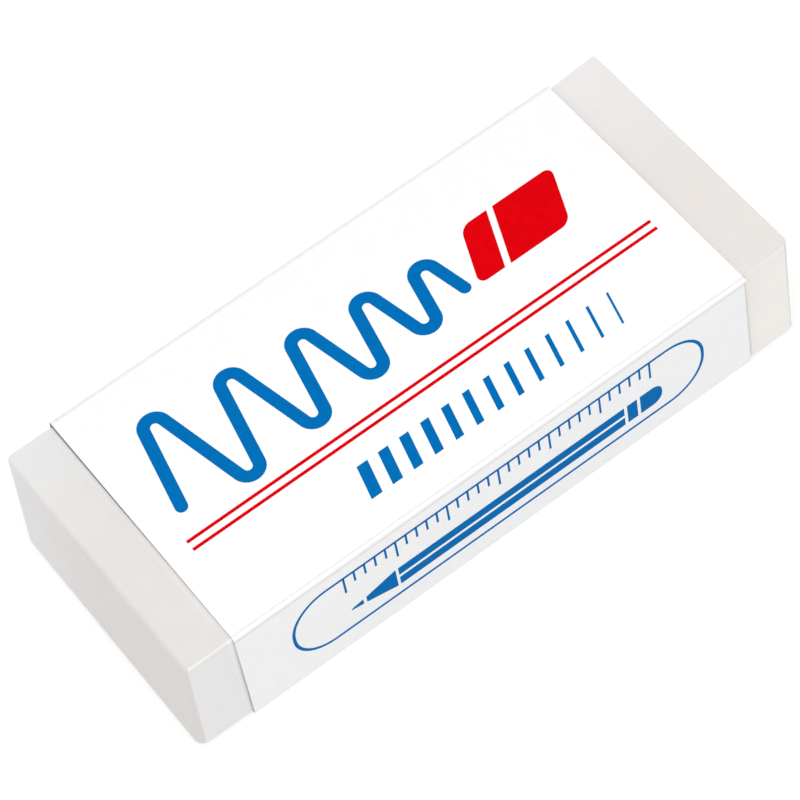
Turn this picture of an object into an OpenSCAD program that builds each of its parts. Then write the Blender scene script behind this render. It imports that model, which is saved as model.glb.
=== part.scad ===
// Vinyl eraser: a block of white vinyl in a folded card sleeve.
// Millimetres. The part lies flat on the sleeve's underside, with its length along X.
// The origin is under the middle of the block's length, in the middle of the sleeve's underside.

/* [Block] */
// Length of the block, measured halfway up
block_l = 59.6; // [35:0.05:80]
// Width of the block
block_w = 25; // [15:0.1:35]
// Thickness of the block
block_h = 11.4; // [8:0.1:16]
// How far the knife leaned at the left end: its top edge stands this much further right than its bottom edge
left_lean = 0.85; // [0:0.05:1.5]
// Radius of the four long edges
long_edge_r = 0.2; // [0.2:0.05:1]
// Radius of the top edges of the ends
top_edge_r = 0.4; // [0.1:0.05:1.5]
// Radius of the bottom edges of the ends
foot_edge_r = 0.15; // [0.1:0.05:1.5]
// Radius of the upright edges of the ends
upright_edge_r = 0.6; // [0.2:0.05:2]

/* [Sleeve] */
// Length of the sleeve along the block
sleeve_l = 49.9; // [25:0.1:70]
// How far right of the block's middle the sleeve has been left
sleeve_x = 0.13; // [-4:0.01:4]
// Thickness of the card
card_t = 0.2; // [0.15:0.01:0.5]
// Radius inside each fold
fold_r = 0.06; // [0.04:0.01:0.2]
// Width of the strip of glue flap that the lap leaves bare under the top fold
lap_margin = 0.5; // [0.3:0.1:2]
// Gap between the glue flap's lower edge and the underside panel
flap_margin = 0.6; // [0.3:0.1:2]

/* [Fit] */
// Clearance between the block and the card, on each side
slip_gap = 0.04; // [0.03:0.01:0.15]

/* [Hidden] */
$fn = 64;

// The hollow in the sleeve
hollow_w = block_w + 2 * slip_gap;
hollow_h = block_h + 2 * slip_gap;
// The sleeve outside: the rear side is two cards thick where the lap covers the flap
sleeve_w = hollow_w + 3 * card_t;
sleeve_h = hollow_h + 2 * card_t;
front_in = -sleeve_w / 2 + card_t;
rear_in = front_in + hollow_w;
roof_in = card_t + hollow_h;
fold_out_r = fold_r + card_t;

// The block sits in the middle of the hollow, and its length is centred between its outermost edges
block_x = left_lean / 4;
block_y = front_in + hollow_w / 2;
block_z = card_t + hollow_h / 2;
lean_angle = atan(left_lean / block_h);

// The direction of a line in the plane
function unit(line) = line / norm(line);

// A rectangle in the middle of the plane with round corners
module round_rect(w, h, r) {
    square([w - 2 * r, h], center = true);
    square([w, h - 2 * r], center = true);
    for (sx = [-1, 1], sy = [-1, 1])
        translate([sx * (w / 2 - r), sy * (h / 2 - r)]) circle(r);
}

// A polygon with round corners, from its sharp corners in anticlockwise order and the radius of each
module round_cornered(corners, radii) {
    n = len(corners);
    back = [for (i = [0 : n - 1]) unit(corners[(i + n - 1) % n] - corners[i])];
    ahead = [for (i = [0 : n - 1]) unit(corners[(i + 1) % n] - corners[i])];
    half = [for (i = [0 : n - 1]) acos(back[i] * ahead[i]) / 2];
    polygon([for (i = [0 : n - 1], line = [back[i], ahead[i]]) corners[i] + line * radii[i] / tan(half[i])]);
    for (i = [0 : n - 1])
        translate(corners[i] + unit(back[i] + ahead[i]) * radii[i] / sin(half[i])) circle(radii[i]);
}

// Side view of the block: top and bottom level, the left end leaning in at the top
module block_side_view() {
    left = -block_l / 2;
    right = block_l / 2;
    low = -block_h / 2;
    high = block_h / 2;
    round_cornered([[left - left_lean / 2, low], [right, low], [right, high], [left + left_lean / 2, high]],
                   [foot_edge_r, foot_edge_r, top_edge_r, top_edge_r]);
}

// A bar that ends at one end of the block, leaning as that end does, with its upright edges round.
// side is -1 for the left end and 1 for the right one
module round_ended_bar(side, angle) {
    translate([side * block_l / 2, 0, 0]) rotate([0, angle, 0])
        translate([-side * block_l, 0, 0])
            linear_extrude(2 * block_h, center = true)
                round_rect(2 * block_l, block_w, upright_edge_r);
}

// A quarter of a fold: its centre, and the angle at which the quarter starts
module fold(y, z, start) {
    translate([y, z]) rotate(start) intersection() {
        difference() {
            circle(fold_out_r);
            circle(fold_r);
        }
        square(fold_out_r);
    }
}

// A flat panel of the section, from its lowest to its highest corner
module panel(low, high) {
    translate(low) square(high - low);
}

// Section of the sleeve across its length: the sheet starts at the glue flap, goes over the top,
// down the front, along the underside and up the rear, where its last panel laps the flap
module sleeve_section() {
    lap_in = rear_in + card_t;
    flap_low = card_t + flap_margin;
    lap_high = sleeve_h - fold_out_r - lap_margin;

    panel([rear_in, flap_low], [lap_in, roof_in - fold_r]);
    fold(rear_in - fold_r, roof_in - fold_r, 0);
    panel([front_in + fold_r, roof_in], [rear_in - fold_r, sleeve_h]);
    fold(front_in + fold_r, roof_in - fold_r, 90);
    panel([front_in - card_t, card_t + fold_r], [front_in, roof_in - fold_r]);
    fold(front_in + fold_r, card_t + fold_r, 180);
    panel([front_in + fold_r, 0], [lap_in - fold_r, card_t]);
    fold(lap_in - fold_r, card_t + fold_r, 270);
    panel([lap_in, card_t + fold_r], [lap_in + card_t, lap_high]);
}

// Block of vinyl: the moulded slab's section, cut to length at both ends, with its edges worn round
module eraser_block() {
    color([0.93, 0.92, 0.90]) translate([block_x, block_y, block_z]) intersection() {
        rotate([90, 0, 90])
            linear_extrude(2 * block_l, center = true)
                round_rect(block_w, block_h, long_edge_r);
        rotate([90, 0, 0])
            linear_extrude(2 * block_w, center = true)
                block_side_view();
        round_ended_bar(-1, lean_angle);
        round_ended_bar(1, 0);
    }
}

// Card sleeve: one sheet folded round the block and glued to itself at the rear
module card_sleeve() {
    color([1, 1, 1]) translate([sleeve_x, 0, 0]) rotate([90, 0, 90])
        linear_extrude(sleeve_l, center = true)
            sleeve_section();
}

eraser_block();
card_sleeve();
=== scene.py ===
"""A vinyl eraser: a white block in a printed card sleeve, lying on a pale floor in soft studio light."""
import math

import bmesh
import bpy
from mathutils import Matrix, Vector


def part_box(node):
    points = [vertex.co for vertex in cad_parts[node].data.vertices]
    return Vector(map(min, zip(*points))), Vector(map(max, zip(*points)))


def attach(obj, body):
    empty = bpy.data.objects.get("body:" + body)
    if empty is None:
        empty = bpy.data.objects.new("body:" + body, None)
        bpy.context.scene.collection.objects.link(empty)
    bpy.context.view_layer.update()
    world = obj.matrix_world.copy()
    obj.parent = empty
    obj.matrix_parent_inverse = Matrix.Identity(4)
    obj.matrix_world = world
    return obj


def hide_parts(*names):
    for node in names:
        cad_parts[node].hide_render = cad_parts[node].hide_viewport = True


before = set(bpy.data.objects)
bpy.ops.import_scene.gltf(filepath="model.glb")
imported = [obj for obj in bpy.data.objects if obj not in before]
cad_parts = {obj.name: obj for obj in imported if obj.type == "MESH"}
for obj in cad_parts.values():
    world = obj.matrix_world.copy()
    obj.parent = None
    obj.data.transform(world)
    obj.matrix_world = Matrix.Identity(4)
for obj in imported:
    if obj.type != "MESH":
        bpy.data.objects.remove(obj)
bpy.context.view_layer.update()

MM = 0.001  # sizes below are in millimetres times this
TINY = 0.001 * MM

# The block, as it was cut: how far its left end leans, and the radii of its edges
BLOCK_LOW, BLOCK_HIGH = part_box("eraser_block")
LEFT_LEAN = 0.85 * MM
FOOT_EDGE_R = 0.15 * MM
LEFT_TOP_EDGE_R = 0.4 * MM
RIGHT_TOP_EDGE_R = 0.2 * MM
LONG_EDGE_R = 0.2 * MM
EDGE_STEPS = 8

# The radii of its upright edges, at the foot and at the top, by their end and side: -1 is left or front.
# All of them are first rounded alike and then sized
CUT_CORNER_R = 1.0 * MM
CORNER_STEPS = 12
CORNERS = {(-1, -1): (0.8 * MM, 0.22 * MM), (-1, 1): (0.8 * MM, 0.3 * MM),
           (1, -1): (0.3 * MM, 0.65 * MM), (1, 1): (0.6 * MM, 0.22 * MM)}

# The soft end that stands out of the sleeve on the right leans to the rear: how far its top has moved by
# the sleeve's mouth, at the front and the rear, then at its end, at the front and the rear, and its front
# foot there
STUB_START = 0.1 * MM
MOUTH_LEAN = Vector((0, 0.38, 0)) * MM
MOUTH_RISE = Vector((0, 0, 0.12)) * MM
FRONT_LEAN = Vector((0.06, 0.5, 0)) * MM
REAR_LEAN = Vector((0, 0.4, 0)) * MM
FOOT_SHORT = Vector((-0.28, 0, 0)) * MM

# The vinyl by the sleeve's mouths: how wide the painted shade is at the right one and at the left one, and
# how many times over it has faded at the front there
RIGHT_SHADE_WIDTH = 0.35 * MM
LEFT_SHADE_WIDTH = 0.14 * MM
LEFT_SHADE_FADE = 3.0

# Painted light against the shade by the sleeve's left mouth, which goes on under it: how far it reaches
# out at the left, over what length it fades towards the right mouth, and how much lighter the vinyl is there
LIFT_REACH = 0.65 * MM
LIFT_FADE = 45.0 * MM
PAINTED_LIFT = 1.15

# The card sheet, with the score lines that it is folded along
SLEEVE_LOW, SLEEVE_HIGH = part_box("card_sleeve")
SLEEVE_MIDDLE = (SLEEVE_LOW[0] + SLEEVE_HIGH[0]) / 2
CARD = 0.2 * MM
FOLD_R = 0.06 * MM
LAP_MARGIN = 0.5 * MM
FLAP_MARGIN = 0.6 * MM
GLUE_LINE = 0.01 * MM
SCORE_DEPTH = 0.02 * MM
SCORE_BEFORE = 0.2 * MM
SCORE_AFTER = 0.32 * MM
SHOULDER = SLEEVE_HIGH[2] - CARD - FOLD_R

# The sleeve isn't quite square: how far its corners stand long or short, how far its top panel, which
# touches the block along the front fold, lifts off it at the rear one, and how far the blunt blade's burr
# hangs under its cut left edge there
FRONT_FOOT_LONG = Vector((-0.12, 0, 0)) * MM
FRONT_SHOULDER_SHORT = Vector((-0.2, 0, 0)) * MM
REAR_SHOULDER_SHORT = Vector((-0.08, 0, 0)) * MM
REAR_LIFT = Vector((0, 0, 0.15)) * MM
BURR = Vector((0, 0, -0.15)) * MM

# The order of the sleeve's materials, and of the block's
OUTSIDE, INSIDE, CUT_EDGE, SCORES = range(4)
FACES, SIDES, ENDS, EDGE_TOPS, EDGE_SIDES = range(5)

# The print: how far the ink stands on the card, and how far it sinks in
INK_PROUD = 0.005 * MM
INK_SUNK = 0.01 * MM

# Finishes: a stain that changes nothing, a grain alike all round, and how card fibres are drawn out. Noise
# hardly leaves the range given
NO_STAIN = (1, 1, 1)
EVEN = (1, 1, 1)
FIBRES = (1, 0.55, 0.55)
LONG_FIBRES = (1, 0.4, 0.4)
NOISE_LOW, NOISE_HIGH = 0.3, 0.7

# The studio: the lamp's place is in metres, and the floor's glow has its distance in metres and its strength
AMBIENT = 0.685
LAMP_POWER = 3.2
LAMP_SIZE = 0.5
LAMP_PLACE = Vector((-0.08, -0.2, 0.98)) * 0.9
FLOOR_SIZE = 6
FLOOR_SHADE = (0.92, 0.92, 0.92)
FLOOR_SHADE_SEEN = (0.4, 0.4, 0.4)
NEAR_GLOW = (0.1, 0.62)
FAR_GLOW = (0.6, 0.8)

# The camera, solved from the sleeve's straight edges in the photograph
CAMERA_AZIMUTH = -26.525
CAMERA_ELEVATION = 57.142
CAMERA_ROLL = -12.011
CAMERA_ASIDE = -0.974 * MM
CAMERA_ABOVE = 2.481 * MM
CAMERA_DISTANCE = 298.59 * MM
CAMERA_LENS = 164.893
SENSOR_WIDTH = 36
CLIP_START = 0.01


def linear(red, green, blue):
    """A colour as a screen shows it, from 0 to 255, as the light values that shaders take."""
    def one(value):
        value /= 255
        return value / 12.92 if value <= 0.04045 else ((value + 0.055) / 1.055) ** 2.4
    return one(red), one(green), one(blue)


# Materials

def new_material(name):
    material = bpy.data.materials.new(name)
    material.use_nodes = True
    return material, material.node_tree, material.node_tree.nodes["Principled BSDF"]


def add_node(tree, kind, **settings):
    """A shader node with its settings; a name of one of its inputs sets that input's value."""
    node = tree.nodes.new(kind)
    for key, value in settings.items():
        if key in node.inputs:
            node.inputs[key].default_value = value
        else:
            setattr(node, key, value)
    return node


def places(tree):
    """The object's own coordinates, whole and then one by one."""
    whole = add_node(tree, "ShaderNodeTexCoord").outputs["Object"]
    split = add_node(tree, "ShaderNodeSeparateXYZ")
    tree.links.new(whole, split.inputs[0])
    return whole, *split.outputs


def noise(tree, scale, detail, roughness=0.6, stretch=EVEN):
    """Noise on the object's own coordinates, with scale features in a metre, stretched along its axes."""
    place = add_node(tree, "ShaderNodeTexCoord")
    fit = add_node(tree, "ShaderNodeMapping", Scale=stretch)
    pattern = add_node(tree, "ShaderNodeTexNoise", Scale=scale, Detail=detail, Roughness=roughness)
    tree.links.new(place.outputs["Object"], fit.inputs["Vector"])
    tree.links.new(fit.outputs["Vector"], pattern.inputs["Vector"])
    return pattern.outputs["Fac"]


def calculate(tree, operation, *values):
    """A Math node's result, from numbers and other nodes' outputs."""
    node = add_node(tree, "ShaderNodeMath", operation=operation)
    for socket, value in zip(node.inputs, values):
        if isinstance(value, (int, float)):
            socket.default_value = value
        else:
            tree.links.new(value, socket)
    return node.outputs[0]


def share(tree, value, start, end, low=0.0, high=1.0):
    """How far a value has gone from start to end, as a share that goes from low to high and no further."""
    node = add_node(tree, "ShaderNodeMapRange")
    for name, number in (("From Min", start), ("From Max", end), ("To Min", low), ("To Max", high)):
        node.inputs[name].default_value = number
    tree.links.new(value, node.inputs["Value"])
    return node.outputs["Result"]


def tint(tree, factor, dark, light, low=0.0, high=1.0):
    """A colour that goes from dark to light as the factor goes from low to high."""
    ramp = add_node(tree, "ShaderNodeValToRGB")
    for element, place, colour in zip(ramp.color_ramp.elements, (low, high), (dark, light)):
        element.position = place
        element.color = (*colour, 1)
    tree.links.new(factor, ramp.inputs["Fac"])
    return ramp.outputs["Color"]


def waver(tree, pattern, dark, light):
    """A colour that wavers between two as a noise does."""
    return tint(tree, pattern, dark, light, NOISE_LOW, NOISE_HIGH)


def lay_over(tree, base, *layers):
    """A colour with others laid over it as stains."""
    for layer in layers:
        mix = add_node(tree, "ShaderNodeMix", data_type="RGBA", blend_type="MULTIPLY")
        mix.inputs["Factor"].default_value = 1.0
        tree.links.new(base, mix.inputs[6])
        tree.links.new(layer, mix.inputs[7])
        base = mix.outputs[2]
    return base


def finish(tree, shader, colour, roughness, specular=0.5, relief=None, depth=0.0):
    """Gives a surface its colour, its gloss and a fine relief of that depth."""
    tree.links.new(colour, shader.inputs["Base Color"])
    shader.inputs["Roughness"].default_value = roughness
    shader.inputs["Specular IOR Level"].default_value = specular
    if relief:
        node = add_node(tree, "ShaderNodeBump", Strength=1.0, Distance=depth)
        tree.links.new(relief, node.inputs["Height"])
        tree.links.new(node.outputs["Normal"], shader.inputs["Normal"])


def soft_vinyl(name, left, right, front=NO_STAIN, grain=EVEN, specks=0.0, left_shade=NO_STAIN,
               right_shade=NO_STAIN, lift_front=True):
    """White plasticised vinyl: matte and a little milky, with a faint mottle. Its colour goes from left to
    right, with a stain towards the front. Painted light lifts it under the sleeve and just beside its left
    mouth, but not towards the front if the last argument is off; painted shade lines the sleeve's mouths.
    The knife leaves grain and open specks on the ends."""
    material, tree, shader = new_material(name)
    whole, x, y, _ = places(tree)
    forward = share(tree, y, BLOCK_HIGH[1], BLOCK_LOW[1])
    to_front = calculate(tree, "MULTIPLY", forward, forward)
    body = tint(tree, share(tree, x, BLOCK_LOW[0], BLOCK_HIGH[0]), linear(*left), linear(*right))
    stain = tint(tree, share(tree, y, 0, BLOCK_HIGH[1]), front, NO_STAIN)
    mottle = waver(tree, noise(tree, 420, 4.0, 0.55), (0.975, 0.975, 0.978), NO_STAIN)
    clouded = lay_over(tree, body, stain, mottle, painted_shade_at_right(tree, x, right_shade),
                       painted_shadow_at_left(tree, x, to_front, left_shade),
                       painted_light_by_sleeve(tree, x, to_front, lift_front))

    full_speck, no_speck, speck_grey = 0.02, 0.055, linear(176, 172, 168)
    dots = add_node(tree, "ShaderNodeTexVoronoi", Scale=430.0, feature="F1")
    tree.links.new(whole, dots.inputs["Vector"])
    open_here = share(tree, dots.outputs["Distance"], full_speck, no_speck, specks, 0.0)
    speckled = add_node(tree, "ShaderNodeMix", data_type="RGBA")
    tree.links.new(open_here, speckled.inputs["Factor"])
    tree.links.new(clouded, speckled.inputs[6])
    speckled.inputs[7].default_value = (*speck_grey, 1)

    shader.inputs["Subsurface Weight"].default_value = 0.35
    shader.inputs["Subsurface Radius"].default_value = (1.0, 0.92, 0.85)
    shader.inputs["Subsurface Scale"].default_value = 0.15 * MM
    finish(tree, shader, speckled.outputs[2], 0.42, 0.7, noise(tree, 1500, 5.0, stretch=grain), 0.012 * MM)
    return material


def painted_shade_at_right(tree, x, colour):
    """A line of painted shade on the vinyl just outside the sleeve's right mouth."""
    away = calculate(tree, "ABSOLUTE", calculate(tree, "SUBTRACT", x, SLEEVE_HIGH[0] + STUB_START))
    return tint(tree, share(tree, away, RIGHT_SHADE_WIDTH / 3, RIGHT_SHADE_WIDTH), colour, NO_STAIN)


def painted_shadow_at_left(tree, x, to_front, colour):
    """A line of painted shadow at the sleeve's left mouth, which fades to the front."""
    away = calculate(tree, "ABSOLUTE", calculate(tree, "SUBTRACT", x, SLEEVE_LOW[0]))
    faded = calculate(tree, "ADD", share(tree, away, 0, LEFT_SHADE_WIDTH),
                      calculate(tree, "MULTIPLY", to_front, LEFT_SHADE_FADE))
    return tint(tree, faded, colour, NO_STAIN)


def painted_light_by_sleeve(tree, x, to_front, lift_front):
    """Painted light: the vinyl made lighter under the sleeve and just beside its left mouth."""
    covered = calculate(tree, "MINIMUM", share(tree, x, SLEEVE_LOW[0] - LIFT_REACH, SLEEVE_LOW[0]),
                        share(tree, x, SLEEVE_HIGH[0], SLEEVE_HIGH[0] - LIFT_FADE))
    if not lift_front:
        covered = calculate(tree, "MINIMUM", covered, calculate(tree, "SUBTRACT", 1.0, to_front))
    return tint(tree, covered, NO_STAIN, (PAINTED_LIFT, PAINTED_LIFT, PAINTED_LIFT))


def coated_card():
    """The outside of the card: smooth white coating over faint fibres."""
    material, tree, shader = new_material("coated_card")
    fibres = noise(tree, 900, 5.0, stretch=FIBRES)
    white = waver(tree, fibres, linear(248, 248, 248), linear(251, 251, 251))
    finish(tree, shader, white, 0.42, 0.35, fibres, 0.006 * MM)
    return material


def painted_score_shade():
    """The coating along the scores and folds, greyer: painted shade along the score lines and the rear fold.
    """
    material, tree, shader = new_material("painted_score_shade")
    fibres = noise(tree, 2500, 5.0, stretch=LONG_FIBRES)
    grey = waver(tree, fibres, linear(232, 232, 232), linear(242, 242, 242))
    finish(tree, shader, grey, 0.5, 0.35, fibres, 0.008 * MM)
    return material


def bare_card():
    """The inside of the card: uncoated, a little grey, with open fibres."""
    material, tree, shader = new_material("bare_card")
    fibres = noise(tree, 1500, 6.0, 0.7, LONG_FIBRES)
    grey = waver(tree, fibres, linear(205, 203, 198), linear(224, 222, 217))
    finish(tree, shader, grey, 0.85, relief=fibres, depth=0.02 * MM)
    return material


def cut_card():
    """The cut edge of the card: a light core under a painted shadow of the gap between card and block, none
    by the front shoulder and darker the further from it, most of all along the top panel."""
    material, tree, shader = new_material("cut_card")
    core = waver(tree, noise(tree, 4000, 4.0, 0.7), linear(224, 224, 223), linear(234, 233, 231))
    on_front, below_top, blackest = 0.45, 0.5, (0.05, 0.05, 0.05)
    _, _, y, z = places(tree)
    further = calculate(tree, "MAXIMUM", share(tree, y, SLEEVE_LOW[1], SLEEVE_HIGH[1] / 6),
                        share(tree, z, SLEEVE_HIGH[2], SLEEVE_HIGH[2] / 2, 0.0, on_front))
    most = share(tree, z, SLEEVE_HIGH[2] - 3 * CARD, SLEEVE_HIGH[2] - 2 * CARD, below_top)
    gap_shade = tint(tree, calculate(tree, "MINIMUM", further, most), NO_STAIN, blackest)
    finish(tree, shader, lay_over(tree, core, gap_shade), 0.9)
    return material


def printing_ink(name, thin, full):
    """Offset ink on coated card: even and satin, a touch thinner here and there."""
    material, tree, shader = new_material(name)
    cover = waver(tree, noise(tree, 1400, 4.0), linear(*full), linear(*thin))
    finish(tree, shader, cover, 0.5, 0.015, noise(tree, 900, 5.0, stretch=FIBRES), 0.004 * MM)
    return material


# Modelling with Blender's own tools

def start_fresh():
    if bpy.context.object and bpy.context.object.mode != "OBJECT":
        bpy.ops.object.mode_set(mode="OBJECT")
    bpy.ops.object.select_all(action="DESELECT")


def pick(kind, test):
    """In edit mode, selects only the vertices, edges or faces of that kind that pass the test."""
    bpy.ops.mesh.select_mode(type={"verts": "VERT", "edges": "EDGE", "faces": "FACE"}[kind])
    bpy.ops.mesh.select_all(action="DESELECT")
    mesh = bmesh.from_edit_mesh(bpy.context.object.data)
    for item in getattr(mesh, kind):
        if test(item):
            item.select_set(True)
    mesh.select_flush_mode()
    bmesh.update_edit_mesh(bpy.context.object.data)


def push(test, move):
    """In edit mode, moves the vertices that pass the test."""
    pick("verts", test)
    bpy.ops.transform.translate(value=move)


def finish_modifier(piece, kind, **settings):
    modifier = piece.modifiers.new(kind.title(), kind)
    for key, value in settings.items():
        setattr(modifier, key, value)
    bpy.ops.object.modifier_apply(modifier=modifier.name)


def pen(name, width, steps, upright=False, round_ends=False):
    """A strip drawn from the origin along X, as a pen goes: ("run", length), ("turn", degrees, radius),
    ("jog", length, aside) and ("taper", length, share of the width left). A left turn is positive.
    The strip lies flat, or stands on its edge if it is upright."""
    start_fresh()
    length = steps[0][1]
    bpy.ops.mesh.primitive_plane_add(size=1, location=(length / 2, 0, 0))
    strip = bpy.context.object
    strip.name = name
    strip.scale = (length, width, 1)
    if upright:
        strip.rotation_euler.x = math.radians(90)
    bpy.ops.object.transform_apply(location=True, rotation=True, scale=True)
    bpy.ops.object.mode_set(mode="EDIT")
    pick("edges", lambda e: all(v.co.x > length * 0.99 for v in e.verts))
    spot, heading = Vector((length, 0, 0)), 0.0
    for kind, *sizes in steps[1:]:
        ahead = Vector((math.cos(heading), math.sin(heading), 0))
        left = Vector((-ahead.y, ahead.x, 0))
        if kind == "turn":
            angle, radius = math.radians(sizes[0]), sizes[1]
            centre = spot + left * math.copysign(radius, angle)
            turns = max(4, round(abs(sizes[0]) / 6))
            bpy.ops.mesh.spin(steps=turns, angle=-angle, center=centre, axis=(0, 0, 1))
            spot = centre + Matrix.Rotation(angle, 3, "Z") @ (spot - centre)
            heading += angle
            continue
        move = ahead * sizes[0] + (left * sizes[1] if kind == "jog" else Vector())
        spot += move
        draw_on(move, spot, sizes[1] if kind == "taper" else 1)
    if round_ends:
        ahead = Vector((math.cos(heading), math.sin(heading), 0))
        round_off(spot, ahead * width / 2)
        pick("edges", lambda e: all(abs(v.co.x) < 1e-7 for v in e.verts))
        round_off(Vector(), Vector((-width / 2, 0, 0)))
    bpy.ops.object.mode_set(mode="OBJECT")
    return strip


def draw_on(move, spot, share_left=1):
    """Draws the strip's last edge on by a move that ends at the spot, and narrows it to a share."""
    bpy.ops.mesh.extrude_region_move(TRANSFORM_OT_translate={"value": move})
    if share_left != 1:
        bpy.ops.transform.resize(value=(share_left,) * 3, center_override=spot)


def round_off(spot, reach):
    """Finishes the strip's last edge as a half circle that reaches that far."""
    turns = [math.radians(15 * step) for step in range(6)] + [math.radians(86)]
    for before, after in zip(turns, turns[1:]):
        move = reach * (math.sin(after) - math.sin(before))
        spot = spot + move
        draw_on(move, spot, math.cos(after) / math.cos(before))


def lay_down(piece, place):
    """Puts a finished piece in its place, which goes into its mesh."""
    start_fresh()
    piece.select_set(True)
    bpy.context.view_layer.objects.active = piece
    piece.matrix_world = place
    bpy.ops.object.transform_apply(location=True, rotation=True, scale=True)


# The sleeve: one sheet, folded four times and glued to itself at the rear

def fold_card_sleeve(*materials):
    """The sheet starts at the glue flap, goes up the rear, over the top, down the front and along the
    underside, and laps the flap. It gets its thickness last."""
    hollow_w = SLEEVE_HIGH[1] - SLEEVE_LOW[1] - 3 * CARD
    hollow_h = SLEEVE_HIGH[2] - SLEEVE_LOW[2] - 2 * CARD
    flap_low = CARD + FLAP_MARGIN
    crease = [("jog", SCORE_BEFORE / 2, SCORE_DEPTH), ("jog", SCORE_BEFORE / 2, -SCORE_DEPTH),
              ("turn", 90, FOLD_R),
              ("jog", SCORE_AFTER / 2, SCORE_DEPTH), ("jog", SCORE_AFTER / 2, -SCORE_DEPTH)]
    before, after = FOLD_R + SCORE_BEFORE, FOLD_R + SCORE_AFTER
    steps = [("run", CARD + hollow_h - before - flap_low), *crease,
             ("run", hollow_w - GLUE_LINE - before - after), *crease,
             ("run", hollow_h - before - after), *crease,
             ("run", hollow_w + CARD - before - after), *crease,
             ("run", hollow_h - after - FOLD_R - LAP_MARGIN)]
    sleeve = pen("folded_card_sleeve", SLEEVE_HIGH[0] - SLEEVE_LOW[0], steps, upright=True)
    for material in materials:
        sleeve.data.materials.append(material)
    flap_y = SLEEVE_LOW[1] + CARD + hollow_w - GLUE_LINE
    up_the_rear = Matrix(((0, 0, 1, SLEEVE_MIDDLE), (0, -1, 0, flap_y), (1, 0, 0, flap_low), (0, 0, 0, 1)))
    lay_down(sleeve, up_the_rear)
    finish_modifier(sleeve, "SOLIDIFY", thickness=CARD, offset=1, use_even_offset=True,
                    material_offset=INSIDE, material_offset_rim=CUT_EDGE)
    sort_sleeve_faces(sleeve)
    bpy.ops.object.mode_set(mode="EDIT")
    set_out_of_square(flap_y)
    bpy.ops.object.mode_set(mode="OBJECT")
    bpy.ops.object.shade_smooth_by_angle(angle=math.radians(35))
    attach(sleeve, "sleeve")
    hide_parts("card_sleeve")


def sort_sleeve_faces(sleeve):
    """Gives the scores along the top folds, and the whole of the fold at the rear, the material with painted
    shade. The long edges of the flap and the lap take the inside's material, not the painted shadow."""
    fold = CARD + FOLD_R
    reach = fold + SCORE_AFTER - TINY
    for face in sleeve.data.polygons:
        from_front, from_rear = face.center.y - SLEEVE_LOW[1], SLEEVE_HIGH[1] - face.center.y
        from_top = SLEEVE_HIGH[2] - face.center.z
        at_rear = from_rear < reach and from_top < reach
        at_front = from_front < reach and from_top < reach and (from_front > fold or from_top > fold)
        if face.material_index == OUTSIDE and (at_rear or at_front):
            face.material_index = SCORES
        if face.material_index == CUT_EDGE and abs(face.normal.z) > 0.9:
            face.material_index = INSIDE


def set_out_of_square(flap_y):
    """Moves the corners of the sleeve's ends, lifts the top panel's rear and thickens its left edge."""
    middle = SLEEVE_HIGH[2] / 2
    push(lambda v: v.co.x < 0 and v.co.y < 0 and v.co.z < middle, FRONT_FOOT_LONG)
    push(lambda v: v.co.x > 0 and v.co.y < 0 and middle < v.co.z < SHOULDER + TINY, FRONT_SHOULDER_SHORT)
    push(lambda v: v.co.x > 0 and v.co.y > 0 and v.co.z > middle, REAR_SHOULDER_SHORT)
    push(lambda v: v.co.y > 0 and v.co.z > SHOULDER - TINY, REAR_LIFT)
    inner_low = SHOULDER + REAR_LIFT.z - TINY
    inner_high = SLEEVE_HIGH[2] + REAR_LIFT.z - CARD / 2
    push(lambda v: v.co.x < 0 < v.co.y < flap_y - TINY and inner_low < v.co.z < inner_high, BURR)


# The block

def draw_in(radius, height):
    """How far a rounded level edge stands back from the side, at that height above the edge's flat."""
    rest = max(0.0, radius - height)
    return radius - math.sqrt(radius * radius - rest * rest)


def block_ring(height):
    """The lowest and highest corners of the block's outline at that height above its underside."""
    low, high = Vector(BLOCK_LOW), Vector(BLOCK_HIGH)
    thick = high.z - low.z
    angle = math.atan(LEFT_LEAN / thick)
    foot_x = low.x - FOOT_EDGE_R * (math.tan(angle) + 1 - 1 / math.cos(angle))
    in_foot = draw_in(FOOT_EDGE_R, height)
    in_left = in_foot + draw_in(LEFT_TOP_EDGE_R, thick - height)
    in_right = in_foot + draw_in(RIGHT_TOP_EDGE_R, thick - height)
    in_side = draw_in(LONG_EDGE_R, height) + draw_in(LONG_EDGE_R, thick - height)
    return (Vector((foot_x + LEFT_LEAN * height / thick + in_left, low.y + in_side, low.z + height)),
            Vector((high.x - in_right, high.y - in_side, low.z + height)))


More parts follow.
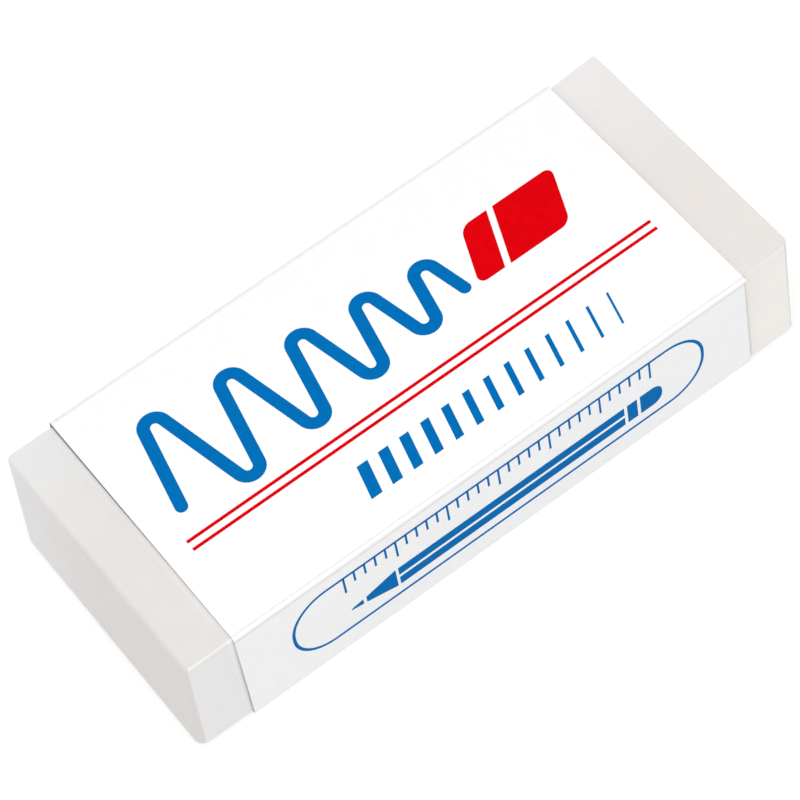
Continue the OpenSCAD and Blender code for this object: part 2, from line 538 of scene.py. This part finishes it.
def cut_vinyl_block(*materials):
    """The block is raised ring by ring from its foot, a rectangle with round corners: up its rounded foot
    edges, to its shoulders, where its corners take their top radii, and over its top edges."""
    thick = BLOCK_HIGH[2] - BLOCK_LOW[2]
    turns = [math.radians(90 * n / EDGE_STEPS) for n in range(EDGE_STEPS + 1)]
    heights = [FOOT_EDGE_R * (1 - math.cos(turn)) for turn in turns]
    heights += [thick - LEFT_TOP_EDGE_R * (1 - math.cos(turn)) for turn in reversed(turns)]
    shoulder = heights[EDGE_STEPS + 1]

    low, high = block_ring(0)
    start_fresh()
    bpy.ops.mesh.primitive_plane_add(size=1, location=(low + high) / 2)
    block = bpy.context.object
    block.name = "soft_vinyl_block"
    block.scale = (high.x - low.x, high.y - low.y, 1)
    bpy.ops.object.transform_apply(location=True, rotation=True, scale=True)
    bpy.ops.object.mode_set(mode="EDIT")
    bpy.ops.mesh.select_mode(type="VERT")
    bpy.ops.mesh.select_all(action="SELECT")
    bpy.ops.mesh.bevel(offset=CUT_CORNER_R, offset_type="OFFSET", segments=CORNER_STEPS, profile=0.5,
                       affect="VERTICES")
    size_corners(low, high, {place: foot / CUT_CORNER_R for place, (foot, top) in CORNERS.items()})
    for height in heights[1:]:
        pick("faces", lambda f: all(v.co.z > low.z - TINY for v in f.verts))
        before, middle = high - low, (low + high) / 2
        low, high = block_ring(height)
        after, spot = high - low, (low + high) / 2
        bpy.ops.mesh.extrude_region_move(TRANSFORM_OT_translate={"value": spot - middle})
        bpy.ops.transform.resize(value=(after.x / before.x, after.y / before.y, 1), center_override=spot)
        if height == shoulder:
            size_corners(low, high, {place: top / foot for place, (foot, top) in CORNERS.items()})
    lean_right_stub()
    bpy.ops.mesh.select_all(action="SELECT")
    bpy.ops.mesh.normals_make_consistent(inside=False)
    bpy.ops.object.mode_set(mode="OBJECT")
    for material in materials:
        block.data.materials.append(material)
    sort_block_faces(block)
    bpy.ops.object.shade_smooth()
    finish_modifier(block, "WEIGHTED_NORMAL", weight=90)
    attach(block, "block")
    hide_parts("eraser_block")


def size_corners(low, high, shares):
    """Sizes the round corners of the outline between two corners, each about where it would be sharp."""
    for (side, depth), part in shares.items():
        corner = Vector((low.x if side < 0 else high.x, low.y if depth < 0 else high.y, high.z))
        pick("verts", lambda v: (v.co - corner).length < 1.2 * CUT_CORNER_R)
        bpy.ops.transform.resize(value=(part,) * 3, center_override=corner)


def lean_right_stub():
    """Leans the right end to the rear, from the sleeve's mouth on."""
    middle_z = (BLOCK_LOW[2] + BLOCK_HIGH[2]) / 2
    mouth = SLEEVE_HIGH[0] + STUB_START
    bpy.ops.mesh.select_all(action="SELECT")
    bpy.ops.mesh.bisect(plane_co=(mouth, 0, 0), plane_no=(1, 0, 0))
    at_mouth, past_mouth = (mouth - TINY, mouth + TINY), (mouth + TINY, math.inf)
    for (near, far), side, level, move in ((at_mouth, -1, 1, MOUTH_LEAN), (at_mouth, 1, 1, MOUTH_RISE),
                                           (past_mouth, -1, 1, FRONT_LEAN), (past_mouth, 1, 1, REAR_LEAN),
                                           (past_mouth, -1, -1, FOOT_SHORT)):
        push(lambda v: near < v.co.x < far and v.co.y * side > 0 and (v.co.z - middle_z) * level > 0, move)


def sort_block_faces(block):
    """Gives the ends, the sides and the front edges, which carry a painted highlight, their materials, by
    the way the faces point.
    """
    for face in block.data.polygons:
        if abs(face.normal.x) > 0.3:
            face.material_index = ENDS
        elif abs(face.normal.y) > 0.98:
            face.material_index = SIDES
        elif face.normal.y < -0.2 and face.normal.z > 0:
            face.material_index = EDGE_TOPS if face.normal.z > 0.7 else EDGE_SIDES
        else:
            face.material_index = FACES


# The print: thin films of ink in plain shapes, drawn flat, in millimetres, and then laid on a panel

def bar(low, high, lean=0.0, round_r=0.0, round_ends=(-1, 1)):
    """A flat bar between two corners, whose top edge stands lean further right. The corners at the ends
    named by their side are then rounded."""
    start_fresh()
    size = (Vector(high) - Vector(low)) * MM
    centre = (Vector(high) + Vector(low)) / 2 * MM
    bpy.ops.mesh.primitive_plane_add(size=1, location=(*centre, 0))
    piece = bpy.context.object
    piece.scale = (*size, 1)
    bpy.ops.object.transform_apply(location=True, rotation=True, scale=True)
    bpy.ops.object.mode_set(mode="EDIT")
    push(lambda v: v.co.y > centre.y, (lean * MM, 0, 0))

    def end_of(vert):
        leaned = lean * MM if vert.co.y > centre.y else 0
        return 1 if vert.co.x > centre.x + leaned else -1

    if round_r:
        pick("verts", lambda v: end_of(v) in round_ends)
        bpy.ops.mesh.bevel(offset=round_r * MM, offset_type="OFFSET", segments=8, profile=0.5,
                           affect="VERTICES")
    bpy.ops.object.mode_set(mode="OBJECT")
    return piece


def set_down(strip, x, y, turn=0.0):
    """Moves a drawn strip to its start and turns it that many degrees to the left."""
    lay_down(strip, Matrix.Translation((x * MM, y * MM, 0)) @ Matrix.Rotation(math.radians(turn), 4, "Z"))
    return strip


def print_on(name, marks, panel, ink):
    """Joins flat marks into one film of ink on a panel, whose matrix turns the drawing onto the card."""
    start_fresh()
    for mark in marks:
        mark.select_set(True)
    bpy.context.view_layer.objects.active = marks[0]
    bpy.ops.object.join()
    film = bpy.context.object
    film.name = name
    bpy.ops.object.mode_set(mode="EDIT")
    bpy.ops.mesh.select_mode(type="VERT")
    bpy.ops.mesh.select_all(action="SELECT")
    bpy.ops.mesh.remove_doubles(threshold=TINY / 2)
    pick("faces", lambda f: f.normal.z < 0)
    bpy.ops.mesh.flip_normals()
    bpy.ops.object.mode_set(mode="OBJECT")
    film.data.materials.clear()
    film.data.materials.append(ink)
    finish_modifier(film, "SOLIDIFY", thickness=INK_PROUD + INK_SUNK, offset=1)
    lay_down(film, panel @ Matrix.Translation((0, 0, -INK_SUNK)))
    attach(film, "sleeve")


def scribble():
    """A bold zigzag drawn from left to right, with round turns, that settles to a short stroke."""
    width, lean, radius = 1.1, 78, 0.95
    first, *strokes = 7.6, 8.2, 7.6, 7.0, 6.3, 5.6, 5.0, 4.4, 3.8, 3.3
    steps = [("run", first * MM)]
    for number, stroke in enumerate(strokes):
        swing = 2 * lean if number % 2 else -2 * lean
        steps += [("turn", swing, radius * MM), ("run", stroke * MM)]
    return set_down(pen("scribble", width * MM, steps, round_ends=True), -21.3, -0.6, lean)


def grades():
    """A row of thirteen slanting bars that get thinner to the right."""
    left, low, high = -9.6, -9.7, -6.6
    pitch, widest, thinner = 2.05, 1.05, 0.07
    return [bar((left + pitch * n, low), (left + pitch * n + widest - thinner * n, high), lean=0.8)
            for n in range(13)]


def rubber():
    """A slanting eraser with round corners, in two parts."""
    low, high, lean, corner = 0.6, 6.0, 2.2, 0.9
    return [bar((left, low), (right, high), lean, corner, (end,))
            for left, right, end in ((8.7, 11.3, -1), (11.9, 17.9, 1))]


def rules():
    """Two fine lines, as long as the panel allows."""
    length, width = 45.6, 0.3
    return [set_down(pen("rule", width * MM, [("run", length * MM)]), -length / 2, y) for y in (-4.35, -3.5)]


def print_top(blue, red):
    """The top panel's print follows the panel, which rises to the rear."""
    front = SLEEVE_LOW[1] + CARD + FOLD_R + SCORE_BEFORE
    rear = SLEEVE_HIGH[1] - GLUE_LINE - 2 * CARD - FOLD_R - SCORE_AFTER
    tilt = math.atan(REAR_LIFT.z / (rear - front))
    panel = (Matrix.Translation((SLEEVE_MIDDLE, front, SLEEVE_HIGH[2])) @ Matrix.Rotation(tilt, 4, "X")
             @ Matrix.Translation((0, -front, 0)))
    print_on("blue_print_top", [scribble(), *grades()], panel, blue)
    print_on("red_print_top", [*rubber(), *rules()], panel, red)


def ruler_frame():
    """A frame with round corners, with a ruler's ticks along its top: a long one every fifth."""
    length, low, high, corner, line = 40.4, 2.5, 9.9, 3.5, 0.3
    long_tick, tick, half_tick, last = 2.2, 1.4, 0.1, 15
    side, across = length - 2 * corner, high - low - 2 * corner
    steps = [("run", side * MM)]
    for straight in (across, side, across):
        steps += [("turn", 90, corner * MM), ("run", straight * MM)]
    steps.append(("turn", 90, corner * MM))
    ticks = [bar((x - half_tick, high - (tick if x % 5 else long_tick)), (x + half_tick, high - line / 3))
             for x in range(-last, last + 1)]
    return [set_down(pen("frame_line", line * MM, steps), -side / 2, low), *ticks]


def pencil():
    """A pencil that points left: two facets, a ferrule, a rubber end, a cone and a lead."""
    low, high, groove, gap = 3.7, 6.1, 0.17, 0.25
    middle = (low + high) / 2
    shoulder, tail, ferrule, rubber_end = -10.5, 12.2, (12.5, 13.5), (13.8, 16.0)
    cone_steps = [("run", 0.05 * MM), ("taper", 2.9 * MM, 0.32)]
    lead_steps = [("run", 0.05 * MM), ("taper", 1.1 * MM, 0.25)]
    return [bar((shoulder + gap, middle + groove), (tail, high)),
            bar((shoulder + gap, low), (tail, middle - groove)),
            bar((ferrule[0], low), (ferrule[1], high)),
            bar((rubber_end[0], low), (rubber_end[1], high), round_r=1.0, round_ends=(1,)),
            set_down(pen("cone", (high - low) * MM, cone_steps), shoulder, middle, 180),
            set_down(pen("lead", 0.66 * MM, lead_steps), shoulder - 3.25, middle, 180)]


def print_front(blue):
    panel = Matrix(((1, 0, 0, SLEEVE_MIDDLE), (0, 0, -1, SLEEVE_LOW[1]), (0, 1, 0, 0), (0, 0, 0, 1)))
    print_on("blue_print_front", [*ruler_frame(), *pencil()], panel, blue)


# The studio

def mix_shaders(tree, factor, first, second):
    mix = add_node(tree, "ShaderNodeMixShader")
    tree.links.new(factor, mix.inputs["Fac"])
    tree.links.new(first.outputs[0], mix.inputs[1])
    tree.links.new(second.outputs[0], mix.inputs[2])
    return mix.outputs[0]


def lay_floor():
    """A plain white floor that keeps the shadow. The camera sees it glow, more so far away, where the lamp
    hardly reaches."""
    start_fresh()
    bpy.ops.mesh.primitive_plane_add(size=FLOOR_SIZE, location=(0, 0, 0))
    floor = bpy.context.object
    floor.name = "pale_floor"
    material, tree, _ = new_material("pale_floor")
    tree.nodes.clear()
    rays = add_node(tree, "ShaderNodeLightPath")
    seen = calculate(tree, "MAXIMUM", rays.outputs["Is Camera Ray"], rays.outputs["Is Glossy Ray"])
    pale = add_node(tree, "ShaderNodeBsdfDiffuse", Color=(*FLOOR_SHADE, 1))
    faint = add_node(tree, "ShaderNodeBsdfDiffuse", Color=(*FLOOR_SHADE_SEEN, 1))
    glow = add_node(tree, "ShaderNodeEmission", Color=(1, 1, 1, 1))
    place = add_node(tree, "ShaderNodeTexCoord")
    far = add_node(tree, "ShaderNodeVectorMath", operation="LENGTH")
    tree.links.new(place.outputs["Object"], far.inputs[0])
    rise = share(tree, far.outputs["Value"], NEAR_GLOW[0], FAR_GLOW[0], NEAR_GLOW[1], FAR_GLOW[1])
    tree.links.new(rise, glow.inputs["Strength"])
    shown = add_node(tree, "ShaderNodeAddShader")
    tree.links.new(faint.outputs[0], shown.inputs[0])
    tree.links.new(glow.outputs[0], shown.inputs[1])
    out = add_node(tree, "ShaderNodeOutputMaterial")
    tree.links.new(mix_shaders(tree, seen, pale, shown), out.inputs["Surface"])
    floor.data.materials.append(material)


def light_studio():
    """Soft light from all sides and one wide lamp. The camera and reflections see plain white."""
    world = bpy.data.worlds.new("studio")
    bpy.context.scene.world = world
    world.use_nodes = True
    tree = world.node_tree
    tree.nodes.clear()
    rays = add_node(tree, "ShaderNodeLightPath")
    through = calculate(tree, "MAXIMUM", rays.outputs["Is Glossy Ray"], rays.outputs["Is Transmission Ray"])
    seen = calculate(tree, "MAXIMUM", rays.outputs["Is Camera Ray"], through)
    ambient = add_node(tree, "ShaderNodeBackground", Color=(1, 1, 1, 1), Strength=AMBIENT)
    white = add_node(tree, "ShaderNodeBackground", Color=(1, 1, 1, 1), Strength=1.0)
    out = add_node(tree, "ShaderNodeOutputWorld")
    tree.links.new(mix_shaders(tree, seen, ambient, white), out.inputs["Surface"])

    lamp = bpy.data.lights.new("soft_box", "AREA")
    lamp.shape = "DISK"
    lamp.size = LAMP_SIZE
    lamp.energy = LAMP_POWER
    soft_box = bpy.data.objects.new("soft_box", lamp)
    bpy.context.scene.collection.objects.link(soft_box)
    soft_box.location = LAMP_PLACE
    soft_box.rotation_euler = LAMP_PLACE.to_track_quat("Z", "Y").to_euler()


def aim_camera():
    turn = (Matrix.Rotation(math.radians(CAMERA_AZIMUTH), 4, "Z")
            @ Matrix.Rotation(math.radians(90 - CAMERA_ELEVATION), 4, "X")
            @ Matrix.Rotation(math.radians(CAMERA_ROLL), 4, "Z"))
    camera = bpy.data.objects.new("camera", bpy.data.cameras.new("camera"))
    bpy.context.scene.collection.objects.link(camera)
    camera.data.lens = CAMERA_LENS
    camera.data.sensor_width = SENSOR_WIDTH
    camera.data.clip_start = CLIP_START
    camera.matrix_world = turn @ Matrix.Translation((CAMERA_ASIDE, CAMERA_ABOVE, CAMERA_DISTANCE))
    bpy.context.scene.camera = camera


bpy.context.scene.view_settings.view_transform = "Standard"
aim_camera()
light_studio()
lay_floor()

# The faces carry the painted shadow at the left mouth, and the sides the painted shade at the right one
faces = soft_vinyl("vinyl_faces", (230, 230, 230), (234, 232, 231), front=(0.965, 0.938, 0.913),
                   left_shade=(0.62, 0.6, 0.58), lift_front=False)
# Painted light: the sides are lighter than the faces, and lighter and warmer still to the right
sides = soft_vinyl("vinyl_sides_painted_light", (240, 239, 239), (253, 247, 242), grain=(0.4, 1, 1),
                   right_shade=(0.78, 0.75, 0.725))
ends = soft_vinyl("vinyl_cut_ends", (233, 232, 232), (235, 233, 231), front=(0.928, 0.893, 0.861),
                  grain=(1, 1, 0.3), specks=0.5)
# Painted highlight along the block's front top edge, bright at the left; its top half turns to painted shade
# at the right
edge_tops = soft_vinyl("edge_tops_painted_light_and_shade", (240, 238, 235), (224, 220, 216))
edge_sides = soft_vinyl("edge_sides_painted_highlight", (240, 238, 236), (246, 242, 239))
cut_vinyl_block(faces, sides, ends, edge_tops, edge_sides)
fold_card_sleeve(coated_card(), bare_card(), cut_card(), painted_score_shade())

blue_ink = printing_ink("blue_ink", thin=(0, 113, 185), full=(0, 106, 178))
red_ink = printing_ink("red_ink", thin=(226, 2, 14), full=(217, 0, 10))
print_top(blue_ink, red_ink)
print_front(blue_ink)
